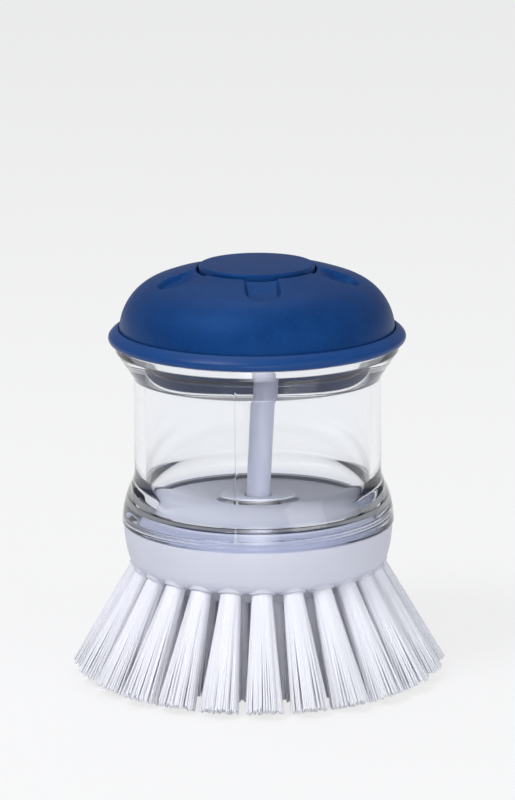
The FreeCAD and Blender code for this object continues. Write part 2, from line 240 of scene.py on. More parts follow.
clearBody = {
    "tint": (0.965, 0.975, 0.992),
    "hazeTint": (0.90, 0.92, 0.96),
    "hazeScale": 70.0,
    "wipeFrom": 0.56,  # haze level where the wiped patches start
    "wipeGain": 5.0,
    "wipeShare": 0.35,
    "wipeRough": 0.03,
    "roughness": 0.006,
    "flowScale": 40.0,
    "flowStretch": (1.0, 1.0, 0.25),  # flow runs up the moulding
    "flowDepth": 0.00004,
    "flowStrength": 0.35,
    "ior": 1.49,
    "footTop": 0.0365,  # metres; from here down the thick foot is painted a darker lavender: painted shade
    "footFade": 330.0,
    "footTint": (0.60, 0.63, 0.73),
    "pass": (0.88, 0.89, 0.92),  # light that gets through to what stands behind
}


def clearBodyFinish(s):
    made = Finish("clearBody", {"Transmission Weight": 1.0, "IOR": s["ior"]})
    haze = made.place.noise(s["hazeScale"], detail=4.0, roughness=0.6)
    flow = made.place.scaled(s["flowStretch"]).noise(s["flowScale"], detail=2.0)
    wipe = ((haze - s["wipeFrom"]) * s["wipeGain"]).clamp()
    height = made.wire.node("ShaderNodeSeparateXYZ", None, {0: made.place}, out="Z")
    # painted shade: the clear foot's colour darkens below footTop
    foot = ((s["footTop"] - height) * s["footFade"]).clamp()
    wall = (wipe * s["wipeShare"]).mix(s["tint"], s["hazeTint"])
    made.feed("Base Color", foot.mix(wall, s["footTint"]))
    made.feed("Roughness", s["roughness"] + wipe * s["wipeRough"])
    made.bump(flow, s["flowDepth"], s["flowStrength"])
    thin = made.wire.node("ShaderNodeBsdfTransparent", None, {"Color": s["pass"]})
    made.blend(made.wire.ray("Shadow"), thin)  # shadow rays pass as through thin plastic
    return made.material


whiteMoulding = {
    "bright": (0.77, 0.782, 0.85),
    "shade": (0.70, 0.715, 0.80),
    "mottleScale": 90.0,
    "grainScale": 3000.0,
    "grainDepth": 0.00001,
    "roughness": 0.32,
    "mottleRough": 0.1,
    "grainRough": 0.05,
    "milky": 0.12,  # share of the light that spreads under the surface
    "milkyReach": (0.002, 0.002, 0.0022),
}

# the brush block's white moulding, painted darker than the same plastic elsewhere: painted shade
blockWhite = dict(whiteMoulding, bright=(0.705, 0.717, 0.805), shade=(0.645, 0.66, 0.755))


def milkySockets(s):
    return {
        "Subsurface Weight": s["milky"],
        "Subsurface Radius": s["milkyReach"],
        "Subsurface Scale": 1.0,
    }


def whiteMouldingFinish(name, s):
    made = Finish(name, milkySockets(s))
    mottle = made.place.noise(s["mottleScale"], detail=5.0, roughness=0.55)
    grain = made.place.noise(s["grainScale"], detail=2.0)
    made.feed("Base Color", mottle.mix(s["shade"], s["bright"]))
    made.feed("Roughness", s["roughness"] + mottle * s["mottleRough"] + grain * s["grainRough"])
    made.bump(grain, s["grainDepth"])
    return made.material


naturalRod = {
    "core": (0.53, 0.54, 0.67),
    "skin": (0.62, 0.63, 0.74),
    "cloudScale": 260.0,
    "streakScale": 900.0,
    "streakStretch": (1.0, 1.0, 0.06),  # drawn along the rod
    "streakDepth": 0.00002,
    "roughness": 0.24,
    "streakRough": 0.18,
    "milky": 0.5,
    "milkyReach": (0.003, 0.003, 0.0035),
}


def naturalRodFinish(s):
    made = Finish("naturalRod", milkySockets(s))
    streak = made.place.scaled(s["streakStretch"]).noise(s["streakScale"])
    cloud = made.place.noise(s["cloudScale"])
    made.feed("Base Color", (streak * 0.5 + cloud * 0.5).mix(s["core"], s["skin"]))
    made.feed("Roughness", s["roughness"] + streak * s["streakRough"])
    made.bump(streak, s["streakDepth"])
    return made.material


bristleNylon = {
    "root": (0.90, 0.905, 0.975),
    "tip": (0.945, 0.95, 0.995),
    "strandSwing": 0.2,
    "crimpScale": 1400.0,
    "crimpSwing": 0.2,
    "roughness": 0.26,
    "strandRough": 0.16,
    "crimpRough": 0.06,
    "gloss": 0.45,
}


def bristleFinish(s):
    # paler from root to tip by the strands' own marks, with a tone for each strand
    made = Finish("bristleNylon", {"Specular IOR Level": s["gloss"]})
    along, strand = (
        made.wire.node("ShaderNodeAttribute", {"attribute_name": mark}, out="Fac")
        for mark in ("along", "strand")
    )
    crimp = made.place.noise(s["crimpScale"], detail=2.0)
    swing = strand * s["strandSwing"] + (crimp - 0.5) * s["crimpSwing"]
    tone = along * (1.0 - s["strandSwing"]) + swing
    made.feed("Base Color", tone.clamp().mix(s["root"], s["tip"]))
    made.feed("Roughness", s["roughness"] + strand * s["strandRough"] + crimp * s["crimpRough"])
    return made.material


springSteel = {
    "bright": (0.60, 0.60, 0.61),
    "dark": (0.34, 0.34, 0.36),
    "drawScale": 2600.0,
    "drawStretch": (1.0, 1.0, 5.0),
    "drawDepth": 0.00001,
    "roughness": 0.2,
    "drawRough": 0.22,
}


def springSteelFinish(s):
    made = Finish("springSteel", {"Metallic": 1.0})
    drawn = made.place.scaled(s["drawStretch"]).noise(s["drawScale"], roughness=0.6)
    made.feed("Base Color", drawn.mix(s["dark"], s["bright"]))
    made.feed("Roughness", s["roughness"] + drawn * s["drawRough"])
    made.bump(drawn, s["drawDepth"])
    return made.material


seals = {
    "silicone": ((0.55, 0.57, 0.62), (0.66, 0.68, 0.72)),  # dark and light of each
    "rubber": ((0.012, 0.016, 0.060), (0.022, 0.028, 0.085)),
    "mottleScale": 420.0,
    "grainScale": 4200.0,
    "grainDepth": 0.00001,
    "roughness": 0.48,
    "grainRough": 0.16,
    "gloss": 0.4,
}


def sealFinish(name, s, tones):
    made = Finish(name, {"Specular IOR Level": s["gloss"]})
    mottle = made.place.noise(s["mottleScale"], detail=4.0)
    grain = made.place.noise(s["grainScale"], detail=2.0)
    made.feed("Base Color", mottle.mix(*tones))
    made.feed("Roughness", s["roughness"] + grain * s["grainRough"])
    made.bump(grain, s["grainDepth"])
    return made.material


finishes = {  # by material slot, and by node where one differs from its slot
    "soft_grip": softGripFinish(softGrip),
    "cap_plastic": capBlueFinish(capBlue),
    "clear_plastic": clearBodyFinish(clearBody),
    "white_plastic": whiteMouldingFinish("whiteMoulding", whiteMoulding),
    "rod_plastic": naturalRodFinish(naturalRod),
    "bristle_nylon": bristleFinish(bristleNylon),
    "spring_steel": springSteelFinish(springSteel),
    "seal_silicone": sealFinish("sealSilicone", seals, seals["silicone"]),
    # the brush block takes the darker white: painted shade
    "brush_block": whiteMouldingFinish("blockWhite", blockWhite),
    "seal_rubber": sealFinish("sealRubber", seals, seals["rubber"]),
}
print("finishes made:", len(finishes))


def arcPoints(center, radius, startDeg, endDeg, count):
    # (radius, z) points at even angles on a circle in the section plane
    a = np.radians(np.linspace(startDeg, endDeg, count))
    return np.stack([center[0] + radius * np.cos(a), center[1] + radius * np.sin(a)], 1)


def tangentArc(start, leaveDeg, end, count):
    # arc from start, where its normal has the given angle, to end
    away = np.array([math.cos(math.radians(leaveDeg)), math.sin(math.radians(leaveDeg))])
    chord = np.asarray(end) - start
    radius = chord @ chord / (-2 * chord @ away)
    center = start - radius * away
    last = math.degrees(math.atan2(end[1] - center[1], end[0] - center[0]))
    return arcPoints(center, radius, leaveDeg, last, count)


def uprightLine(radius, startZ, endZ, count):
    # even points on a line beside the axis
    return np.stack([np.full(count, radius), np.linspace(startZ, endZ, count)], 1)


def eased(t):
    # 0 to 1 with no slope at either end
    t = np.clip(t, 0.0, 1.0)
    return t * t * (3.0 - 2.0 * t)


def roundedSection(corners, steps=5):
    # each corner (radius, z, rounding) becomes an arc that touches both of its sides
    spots = np.array([c[:2] for c in corners], float)
    before = np.roll(spots, 1, 0) - spots
    after = np.roll(spots, -1, 0) - spots
    before /= np.linalg.norm(before, axis=1)[:, None]
    after /= np.linalg.norm(after, axis=1)[:, None]
    half = 0.5 * np.arccos(np.clip((before * after).sum(1), -1, 1))
    out = []
    for spot, b, a, h, corner in zip(spots, before, after, half, corners):
        if corner[2] <= 0:
            out.append(spot[None])
            continue
        middle = spot + (b + a) / np.linalg.norm(b + a) * corner[2] / math.sin(h)
        start = spot + b * corner[2] / math.tan(h) - middle
        end = spot + a * corner[2] / math.tan(h) - middle
        t = np.linspace(0, 1, steps + 1)[:, None]
        ray = start * (1 - t) + end * t
        out.append(middle + ray / np.linalg.norm(ray, axis=1)[:, None] * corner[2])
    return np.vstack(out)


def ringGrid(radius, z, a):
    # point (radius cos a, radius sin a, z) for every row and every angle a
    return np.stack([radius * np.cos(a), radius * np.sin(a), z], 2)


def turnedGrid(section, columns):
    # a section of (radius, z) points carried round the axis
    a = np.linspace(0, 2 * np.pi, columns, endpoint=False)
    return ringGrid(section[:, :1], np.repeat(section[:, 1:], columns, 1), a)


def gridFaces(rows, columns, closeRows):
    # quads between neighbours on a grid whose columns go right round; its rows may close too
    i = np.arange(rows if closeRows else rows - 1)[:, None]
    j = np.arange(columns)[None]
    ni, nj = (i + 1) % rows, (j + 1) % columns
    quads = np.stack([i * columns + j, i * columns + nj, ni * columns + nj, ni * columns + j], -1)
    return quads.reshape(-1, 4)


def signedVolume(points, faces):
    # six times the volume inside, negative where the faces point inwards
    a, b, c, d = (points[faces[:, k]] for k in range(4))
    return (np.cross(a, b) * c).sum() + (np.cross(a, c) * d).sum()


meshing = {"sharpDeg": 32.0, "double": 1e-8}  # edges past this angle stay sharp; metres


def addMesh(name, points, faces, sharpDeg=meshing["sharpDeg"], marks=None):
    # points in mm; faces are turned outwards, doubles are merged; marks are numbers kept on the points
    points = np.asarray(points, float).reshape(-1, 3)
    if signedVolume(points, faces) < 0:
        faces = faces[:, ::-1]
    mesh = bpy.data.meshes.new(name)
    mesh.vertices.add(len(points))
    mesh.vertices.foreach_set("co", (points * mm).ravel())
    mesh.loops.add(faces.size)
    mesh.loops.foreach_set("vertex_index", faces.ravel())
    mesh.polygons.add(len(faces))
    mesh.polygons.foreach_set("loop_start", np.arange(len(faces)) * 4)
    mesh.update(calc_edges=True)
    for mark, values in (marks or {}).items():
        kept = mesh.attributes.new(mark, "FLOAT", "POINT")
        kept.data.foreach_set("value", np.asarray(values, np.float32))
    work = bmesh.new()
    work.from_mesh(mesh)
    bmesh.ops.remove_doubles(work, verts=work.verts, dist=meshing["double"])
    work.to_mesh(mesh)
    work.free()
    mesh.validate()
    mesh.polygons.foreach_set("use_smooth", np.ones(len(mesh.polygons), bool))
    mesh.set_sharp_from_angle(angle=math.radians(sharpDeg))
    piece = bpy.data.objects.new(name, mesh)
    scene.collection.objects.link(piece)
    return piece


def addTurned(name, section, columns, closed=True):
    # a closed section away from the axis makes a ring; an open one runs from axis to axis
    return addMesh(name, turnedGrid(section, columns), gridFaces(len(section), columns, closed))


bodyOf = {node: body for body, nodes in frame["record"]["behaviour"]["bodies"].items() for node in nodes}
slotOf = {row["node"]: row["material_slot"] for row in frame["record"]["subparts"]}


def standFor(piece, node):
    # the piece takes the place, body and finish of a CAD node
    piece.data.materials.append(finishes[slotOf[node]])
    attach(piece, bodyOf[node])
    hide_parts(node)
    return piece


def spanOf(node):
    # lowest z, highest z and outer radius of a round CAD node, mm
    low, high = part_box(node)
    return low.z / mm, high.z / mm, high.x / mm


grip = {
    "shoulder": 11.0,  # shoulder arc
    "rise": 13.95,  # height of the crown's middle over the base
    "hole": 11.9,
    "thickness": 1.8,
    "holeRound": 0.45,
    "baseRound": 0.35,
    "grooves": 5,
    "groovePhase": 4.0,
    "grooveHalf": 3.6,
    "grooveReach": 21.0,
    "grooveDepth": 1.0,
    "grooveEdge": 0.8,  # width of its sloping wall
    "grooveScoop": 0.5,  # the floor hollows by this share of the depth
    "grooveLead": 4.5,  # the floor sinks over this length from the button
    "grooveStart": 0.3,  # share of the depth beside the button
    "wallRows": 8,
    "columns": 600,
}


def domeSizes(s, baseZ, radius):
    # the crown's arc is tangent to the shoulder's arc
    inset = radius - s["shoulder"]
    crown = (inset ** 2 + s["rise"] ** 2 - s["shoulder"] ** 2) / (2 * (s["rise"] - s["shoulder"]))
    meetDeg = math.degrees(math.atan2(inset, crown - s["rise"]))
    return inset, crown, baseZ + s["rise"] - crown, meetDeg


def domeArcs(s, baseZ, radius, depth, endRadius, startDeg=0.0, counts=(36, 70)):
    # shoulder then crown, on a surface that lies a depth under the outside, up to a radius
    inset, crown, crownZ, meetDeg = domeSizes(s, baseZ, radius)
    endDeg = math.degrees(math.asin(endRadius / (crown - depth)))
    low = arcPoints((inset, baseZ), s["shoulder"] - depth, startDeg, 90 - meetDeg, counts[0])
    top = arcPoints((0, crownZ), crown - depth, 90 - meetDeg, 90 - endDeg, counts[1])
    return np.vstack([low, top[1:]])


def gripSection(s, baseZ, radius):
    # outside up to the hole, round its edge, down the hole's wall and back along the inside;
    # the weight says how far each point follows a groove
    _, crown, crownZ, _ = domeSizes(s, baseZ, radius)
    e = s["holeRound"]
    edgeR = s["hole"] + e
    edgeZ = crownZ + math.sqrt((crown - e) ** 2 - edgeR ** 2)
    tilt = math.degrees(math.asin(edgeR / (crown - e)))
    outside = domeArcs(s, baseZ, radius, 0.0, edgeR * crown / (crown - e))
    edge = arcPoints((edgeR, edgeZ), e, 90 - tilt, 180, 8)
    inside = domeArcs(s, baseZ, radius, s["thickness"], s["hole"], counts=(14, 16))[::-1]
    wall = np.linspace(edge[-1], inside[0], s["wallRows"])[1:-1]
    foot = np.array([(radius - s["baseRound"], baseZ), (radius, baseZ + s["baseRound"])])
    outside = outside[outside[:, 1] > baseZ + 2 * s["baseRound"]]
    section = np.vstack([foot, outside, edge[1:], wall, inside])
    weight = np.zeros(len(section))
    outer = len(foot) + len(outside) + len(edge) - 1
    weight[len(foot):outer] = 1.0
    weight[outer:outer + len(wall)] = np.linspace(1, 0, s["wallRows"])[1:-1]
    return section, weight


def grooveMask(s, x, y):
    # 0 at the rim of a round-ended radial groove, 1 at the edge of its floor, more in its hollow
    mask = np.zeros_like(x)
    for k in range(s["grooves"]):
        turn = math.radians(s["groovePhase"] - 90 + 360 * k / s["grooves"])
        along = x * math.cos(turn) + y * math.sin(turn)
        across = y * math.cos(turn) - x * math.sin(turn)
        nearest = np.clip(along, 0, s["grooveReach"] - s["grooveHalf"])
        inside = s["grooveHalf"] - np.hypot(along - nearest, across)
        hollow = 1 - (1 - np.clip(inside / s["grooveHalf"], 0, 1)) ** 2
        lead = eased((along - s["hole"]) / s["grooveLead"])
        sunk = s["grooveStart"] + (1 - s["grooveStart"]) * lead
        groove = sunk * eased(inside / s["grooveEdge"]) * (1 + s["grooveScoop"] * hollow)
        mask = np.maximum(mask, groove)
    return mask


def makeGrip(s):
    # the dome turned round the axis, then pressed in along its normal by the grooves
    baseZ, _, radius = spanOf("grip_cover")
    section, weight = gripSection(s, baseZ, radius)
    grid = turnedGrid(section, s["columns"])
    crownZ = domeSizes(s, baseZ, radius)[2]
    normal = grid - np.array([0, 0, crownZ])
    normal /= np.linalg.norm(normal, axis=2)[:, :, None]
    press = s["grooveDepth"] * grooveMask(s, grid[:, :, 0], grid[:, :, 1]) * weight[:, None]
    grid = grid - normal * press[:, :, None]
    piece = addMesh("gripCover", grid, gridFaces(len(section), s["columns"], True))
    return standFor(piece, "grip_cover")


button = {"edge": 0.55, "crownRise": 0.4, "footRound": 0.3, "columns": 160}


def makeButton(s):
    # a low spherical crown with a rounded rim over a straight side
    lowZ, topZ, radius = spanOf("button_disc")
    e, foot = s["edge"], s["footRound"]
    ball = (radius ** 2 + s["crownRise"] ** 2) / (2 * s["crownRise"])
    turn = math.degrees(math.asin((radius - e) / (ball - e)))
    crown = arcPoints((0, topZ - ball), ball, 90, 90 - turn, 28)
    rimZ = topZ - ball + math.sqrt((ball - e) ** 2 - (radius - e) ** 2)
    rim = arcPoints((radius - e, rimZ), e, 90 - turn, 0, 8)
    heel = arcPoints((radius - foot, lowZ + foot), foot, 0, -90, 5)
    section = np.vstack([crown, rim[1:], heel, [(0, lowZ)]])
    section[0, 0] = 0.0  # the crown's middle, exactly on the axis
    return standFor(addTurned("buttonDisc", section, s["columns"], False), "button_disc")


cap = {
    "bore": 24.15,
    "roll": 1.0,  # round outer edge of the rim
    "rollTurn": 38.0,
    "rimStand": 0.7,  # the rim's top over the grip's foot
    "ledge": 27.45,
    "ledgeZ": 2.2,  # over the cap's low edge
    "creaseRound": 0.35,  # where the rim turns down to the ledge
    "creaseDeg": 75.0,
    "under": 1.85,  # the shell's outside, under the grip's outside
    "inside": 3.35,
    "seatZ": 70.8,
    "seatRing": 1.2,
    "seatBore": 22.5,
    "cupZ": 76.57,
    "cupFloor": 1.5,
    "cupWall": 1.5,
    "cupRise": 3.0,  # inside and outside, over its floor
    "cupOuterRise": 1.0,
    "sleeveBore": 6.93,
    "sleeveWall": 1.5,
    "sleeveDrop": 3.0,
    "footChamfer": 0.25,
    "columns": 224,
}


def makeCap(s):
    # rolled rim, ledge for the grip, domed shell, button cup and guide sleeve in one section
    lowZ, _, radius = spanOf("cap_shell")
    ledgeZ = lowZ + s["ledgeZ"]
    gripR = spanOf("grip_cover")[2]
    rimZ = ledgeZ + s["rimStand"]
    roll = arcPoints((radius - s["roll"], lowZ + s["roll"]), s["roll"], -90, s["rollTurn"], 24)
    bend = s["creaseRound"]
    slope = tangentArc(roll[-1], s["rollTurn"], (s["ledge"] + bend, rimZ), 16)[1:]
    crease = arcPoints((s["ledge"] + bend, rimZ - bend), bend, s["creaseDeg"], 180, 6)
    shell = domeArcs(grip, ledgeZ, gripR, s["under"], grip["hole"], counts=(20, 24))
    cupOuter = grip["hole"] + s["cupWall"]
    seatTop = s["seatZ"] + s["seatRing"]
    startDeg = math.degrees(math.asin((seatTop - ledgeZ) / (grip["shoulder"] - s["inside"])))
    inner = domeArcs(grip, ledgeZ, gripR, s["inside"], cupOuter, startDeg, counts=(16, 16))[::-1]
    floorLow = s["cupZ"] - s["cupFloor"]
    sleeveLow = floorLow - s["sleeveDrop"]
    sleeveR = s["sleeveBore"] + s["sleeveWall"]
    cup = roundedSection([
        (grip["hole"], s["cupZ"] + s["cupRise"], 0), (grip["hole"], s["cupZ"], 0.4),
        (s["sleeveBore"], s["cupZ"], 0.2), (s["sleeveBore"], sleeveLow, 0.2),
        (sleeveR, sleeveLow, 0.3), (sleeveR, floorLow, 0.4),
        (cupOuter, floorLow, 0.3), (cupOuter, s["cupZ"] + s["cupOuterRise"], 0),
    ])
    chamfer = s["footChamfer"]
    skirt = np.array([
        (s["seatBore"], seatTop), (s["seatBore"], s["seatZ"]), (s["bore"], s["seatZ"]),
        (s["bore"], lowZ + chamfer), (s["bore"] + chamfer, lowZ),
    ])
    section = np.vstack([roll, slope, crease, [(s["ledge"], ledgeZ)], shell, cup, inner, skirt])
    return standFor(addTurned("capShell", section, s["columns"]), "cap_shell")


screw = {
    "pitch": 3.0,
    "section": 0.65,  # height of the ridge
    "spread": 1.2,  # half its width, in heights
    "sweepDeg": 180.0,
    "leadIn": 0.7,
    "endDeg": 10.0,
}


def threadRidge(s, angleDeg, z, lowZ, startDeg):
    # height of a ridge that climbs one pitch a turn, rounded across and run out at both ends
    t = np.mod(angleDeg - startDeg, 360.0)
    middle = lowZ + s["pitch"] * t / 360.0
    across = eased(1.0 - np.abs(z - middle) / (s["spread"] * s["section"]))
    ends = eased(np.minimum(t, s["sweepDeg"] - t) / s["endDeg"])
    return s["section"] * across * ends


tank = {
    "neck": 24.65,
    "bore": 22.5,
    "skirt": 27.2,
    "skirtHeight": 10.9,
    "skirtDeg": 1.0,  # the lower arc starts this far up, over the foot's rounding
    "upperArc": 6.5,
    "neckLength": 19.0,
    "flareHeight": 5.3,
    "flareLip": 1.4,
    "flareRun": (3.0, 4.4),  # from the lip in and down to a point on the cone
    "flareRound": 0.35,
    "lipRound": 0.5,
    "neckFillet": 1.6,
    "skirtRound": 0.3,
    "collar": 24.0,
    "bead": 0.5,
    "beadHalf": 0.8,
    "mouthRound": 0.2,
    "skirtBore": 25.3,
    "seatGap": 0.05,  # over the base gasket
    "seatChamfer": 0.1,
    "threadStart": 180.0,
    "threadRows": 40,
    "boreTop": 1.0,  # the bore's even rows start this far down
    "boreRows": 24,
    "seams": (260.0, 80.0),  # degrees, where the mould closed
    "seamHalf": 0.5,
    "seamHeight": 0.06,
    "columns": 288,
}


def seamColumns(s):
    # even angles with closer ones beside the seams, and the seam's height at each
    near = s["seamHalf"] * np.array([-1.0, -0.5, 0.0, 0.5, 1.0])
    even = np.linspace(0, 360, s["columns"], endpoint=False)
    a = np.unique(np.concatenate([even] + [seam + near for seam in s["seams"]]))
    away = np.min([np.abs(a - seam) for seam in s["seams"]], 0)
    return np.radians(a), s["seamHeight"] * eased(1.0 - away / s["seamHalf"])


def tankOutside(s, lowZ, flare):
    # skirt of two tangent arcs, straight neck and a fillet to the cone
    turn = 2 * math.atan2(s["skirt"] - s["neck"], s["skirtHeight"])
    turnDeg = math.degrees(turn)
    lowerArc = s["skirtHeight"] / math.sin(turn) - s["upperArc"]
    neckLow = lowZ + s["skirtHeight"]
    neckHigh = neckLow + s["neckLength"]
    slope = math.degrees(math.atan2(flare - s["neck"], s["flareHeight"]))
    bend = s["neckFillet"]
    filletZ = neckHigh - bend * math.tan(math.radians(slope / 2))
    return np.vstack([
        arcPoints((s["skirt"] - lowerArc, lowZ), lowerArc, s["skirtDeg"], turnDeg, 24),
        arcPoints((s["neck"] + s["upperArc"], neckLow), s["upperArc"], 180 + turnDeg, 180, 18),
        arcPoints((s["neck"] + bend, filletZ), bend, 180, 180 - slope, 10),
    ])


def tankMouth(s, lowZ, topZ, flare, shoulderZ):
    # lip of the cone, collar with a bead, and the turn into the bore
    edgeZ = lowZ + s["skirtHeight"] + s["neckLength"] + s["flareHeight"]
    flareZ = edgeZ + s["flareLip"]
    beadZ = (flareZ + topZ) / 2
    t = np.linspace(-1, 1, 13)
    bead = np.stack([s["collar"] + s["bead"] * (1 - t ** 2), beadZ + s["beadHalf"] * t], 1)
    runIn, runDown = s["flareRun"]
    r = s["mouthRound"]
    lip = roundedSection([
        (flare - runIn, edgeZ - runDown, 0), (flare, edgeZ, s["lipRound"]),
        (flare, flareZ, s["flareRound"]), (s["collar"], flareZ, r), (s["collar"], beadZ, 0),
    ])
    mouth = roundedSection([
        (s["collar"], beadZ, 0), (s["collar"], topZ, r), (s["bore"], topZ, r), (s["bore"], shoulderZ, 0),
    ])
    return np.vstack([lip[1:-1], bead, mouth[1:-1]])


def makeTank(s):
    # clear hourglass in one closed section, with its thread inside the skirt and its mould seams
    lowZ, topZ, flare = spanOf("reservoir")
    shoulderZ = spanOf("base_gasket")[1] + s["seatGap"]
    edge, chamfer = s["mouthRound"], s["seatChamfer"]
    outside = tankOutside(s, lowZ, flare)
    mouth = tankMouth(s, lowZ, topZ, flare, shoulderZ)
    bore = uprightLine(s["bore"], topZ - s["boreTop"], shoulderZ + edge, s["boreRows"])
    seat = np.array([(s["bore"] + edge, shoulderZ), (s["skirtBore"] - chamfer, shoulderZ)])
    thread = uprightLine(s["skirtBore"], shoulderZ - chamfer, lowZ + edge, s["threadRows"])
    foot = np.array([(s["skirtBore"] + edge, lowZ), (s["skirt"] - s["skirtRound"], lowZ)])
    section = np.vstack([outside, mouth, bore, seat, thread, foot])
    a, seam = seamColumns(s)
    radius = np.repeat(section[:, :1], len(a), 1)
    z = np.repeat(section[:, 1:], len(a), 1)
    rows = slice(-len(foot) - len(thread), -len(foot))
    ridgeZ = lowZ + screw["leadIn"]
    radius[rows] -= threadRidge(screw, np.degrees(a)[None], z[rows], ridgeZ, s["threadStart"])
    radius[:len(outside)] += seam
    piece = addMesh("reservoirClear", ringGrid(radius, z, a), gridFaces(len(section), len(a), True))
    return standFor(piece, "reservoir")


plate = {
    "radius": 24.5,
    "wall": 1.8,
    "top": 1.8,
    "well": 8.3,
    "wellDepth": 2.2,
    "pocket": 4.7,
    "pocketDepth": 5.4,
    "pocketWall": 1.5,
    "port": 2.7,
    "skirtZ": 29.0,
    "skirtRound": 0.1,
    "threadZ": 31.8,
    "threadInset": (0.3, 0.4),  # the close rows of the thread stop this far from the wall's ends
    "threadRows": 56,
    "columns": 256,
}


def makePlate(s):
    # turned floor with a well, a spring pocket, a valve seat and the outside screw thread
    lowZ, topZ, _ = spanOf("floor_plate")
    wellZ = topZ - s["wellDepth"]
    pocketZ = wellZ - s["pocketDepth"]
    outer = s["pocket"] + s["pocketWall"]
    wellR = s["well"] + s["top"]
    inner = s["radius"] - s["wall"]
    edge = s["skirtRound"]
    section = roundedSection([
        (inner, s["skirtZ"], edge), (s["radius"], s["skirtZ"], edge), (s["radius"], topZ, 0.3),
        (s["well"], topZ, 0.4), (s["well"], wellZ, 0.4),
        (s["pocket"], wellZ, 0.3), (s["pocket"], pocketZ, 0.2),
        (s["port"], pocketZ, 0.2), (s["port"], lowZ, 0.1),
        (outer, lowZ, 0.2), (outer, wellZ - s["top"], 0.3),
        (wellR, wellZ - s["top"], 0.3), (wellR, topZ - s["top"], 0.3), (inner, topZ - s["top"], 0.3),
    ], 4)
    lower = np.argmin(np.hypot(section[:, 0] - s["radius"], section[:, 1] - s["skirtZ"] - edge)) + 1
    below, above = s["threadInset"]
    wall = uprightLine(s["radius"], s["skirtZ"] + below, topZ - above, s["threadRows"])
    section = np.vstack([section[:lower], wall, section[lower:]])
    a = np.linspace(0, 2 * np.pi, s["columns"], endpoint=False)
    radius = np.repeat(section[:, :1], s["columns"], 1)
    z = np.repeat(section[:, 1:], s["columns"], 1)
    rows = slice(lower, lower + len(wall))
    radius[rows] += threadRidge(screw, np.degrees(a)[None], z[rows], s["threadZ"], 0.0)
    piece = addMesh("floorPlate", ringGrid(radius, z, a), gridFaces(len(section), len(a), True))
    return standFor(piece, "floor_plate")


stem = {
    "disc": 0.9,
    "hub": 3.2,
    "hubLength": 3.8,
    "socket": 2.7,
    "socketDepth": 3.0,
    "pin": 1.5,
    "columns": 128,
}


def makeStem(s):
    # disc over a hub with a socket for the rod, and the valve pin under it
    lowZ, topZ, radius = spanOf("valve_stem")
    discZ = topZ - s["disc"]
    hubZ = discZ - s["hubLength"]
    socketZ = topZ - s["socketDepth"]
    section = roundedSection([
        (0, lowZ, 0), (s["pin"], lowZ, 0.3), (s["pin"], hubZ, 0.2),
        (s["hub"], hubZ, 0.3), (s["hub"], discZ, 0.3),
        (radius, discZ, 0.25), (radius, topZ, 0.3),
        (s["socket"], topZ, 0.3), (s["socket"], socketZ, 0.4), (0, socketZ, 0),
    ])
    return standFor(addTurned("valveStem", section, s["columns"], False), "valve_stem")


rod = {"radius": 2.4, "leanDeg": 3.0, "rows": 16, "columns": 64}


def makeRod(s):
    # a round bar with ball ends, turned about its own axis and then leaned towards +X
    lowZ, topZ, _ = spanOf("push_rod")
    r = s["radius"]
    footZ = lowZ + r
    lean = math.radians(s["leanDeg"])
    length = (topZ - r - footZ) / math.cos(lean)
    low = arcPoints((0, 0), r, -90, 0, 12)
    high = arcPoints((0, length), r, 0, 90, 12)
    shaft = uprightLine(r, 0, length, s["rows"])[1:-1]
    x, y, z = np.moveaxis(turnedGrid(np.vstack([low, shaft, high]), s["columns"]), 2, 0)
    leanX = x * math.cos(lean) + z * math.sin(lean)
    leanZ = z * math.cos(lean) - x * math.sin(lean) + footZ
    grid = np.stack([leanX, y, leanZ], 2)
    piece = addMesh("pushRod", grid, gridFaces(len(grid), s["columns"], False))
    return standFor(piece, "push_rod")


spring = {"mean": 3.95, "wire": 0.7, "turns": 5.0, "ringsPerTurn": 40, "sides": 12, "travel": 3.0}


def makeSpring(s):
    # a circle carried round a helix, square to it; both ends are closed to a point
    lowZ, topZ, _ = spanOf("return_spring")
    r = s["wire"] / 2
    a = np.linspace(0, 2 * np.pi * s["turns"], int(s["turns"] * s["ringsPerTurn"]) + 1)
    rise = (topZ - lowZ - s["wire"]) / (2 * np.pi * s["turns"])
    center = np.stack([s["mean"] * np.cos(a), s["mean"] * np.sin(a), lowZ + r + rise * a], 1)
    inward = np.stack([-np.cos(a), -np.sin(a), np.zeros_like(a)], 1)
    along = np.stack([-s["mean"] * np.sin(a), s["mean"] * np.cos(a), np.full_like(a, rise)], 1)
    along /= np.linalg.norm(along, axis=1)[:, None]
    across = np.cross(along, inward)
    b = np.linspace(0, 2 * np.pi, s["sides"], endpoint=False)[None, :, None]
    tube = center[:, None] + r * (np.cos(b) * inward[:, None] + np.sin(b) * across[:, None])
    start = np.repeat(center[:1, None], s["sides"], 1)
    end = np.repeat(center[-1:, None], s["sides"], 1)
    grid = np.concatenate([start, tube, end])
    piece = addMesh("returnSpring", grid, gridFaces(len(grid), s["sides"], False))
    standFor(piece, "return_spring")
    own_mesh(piece)
    return piece


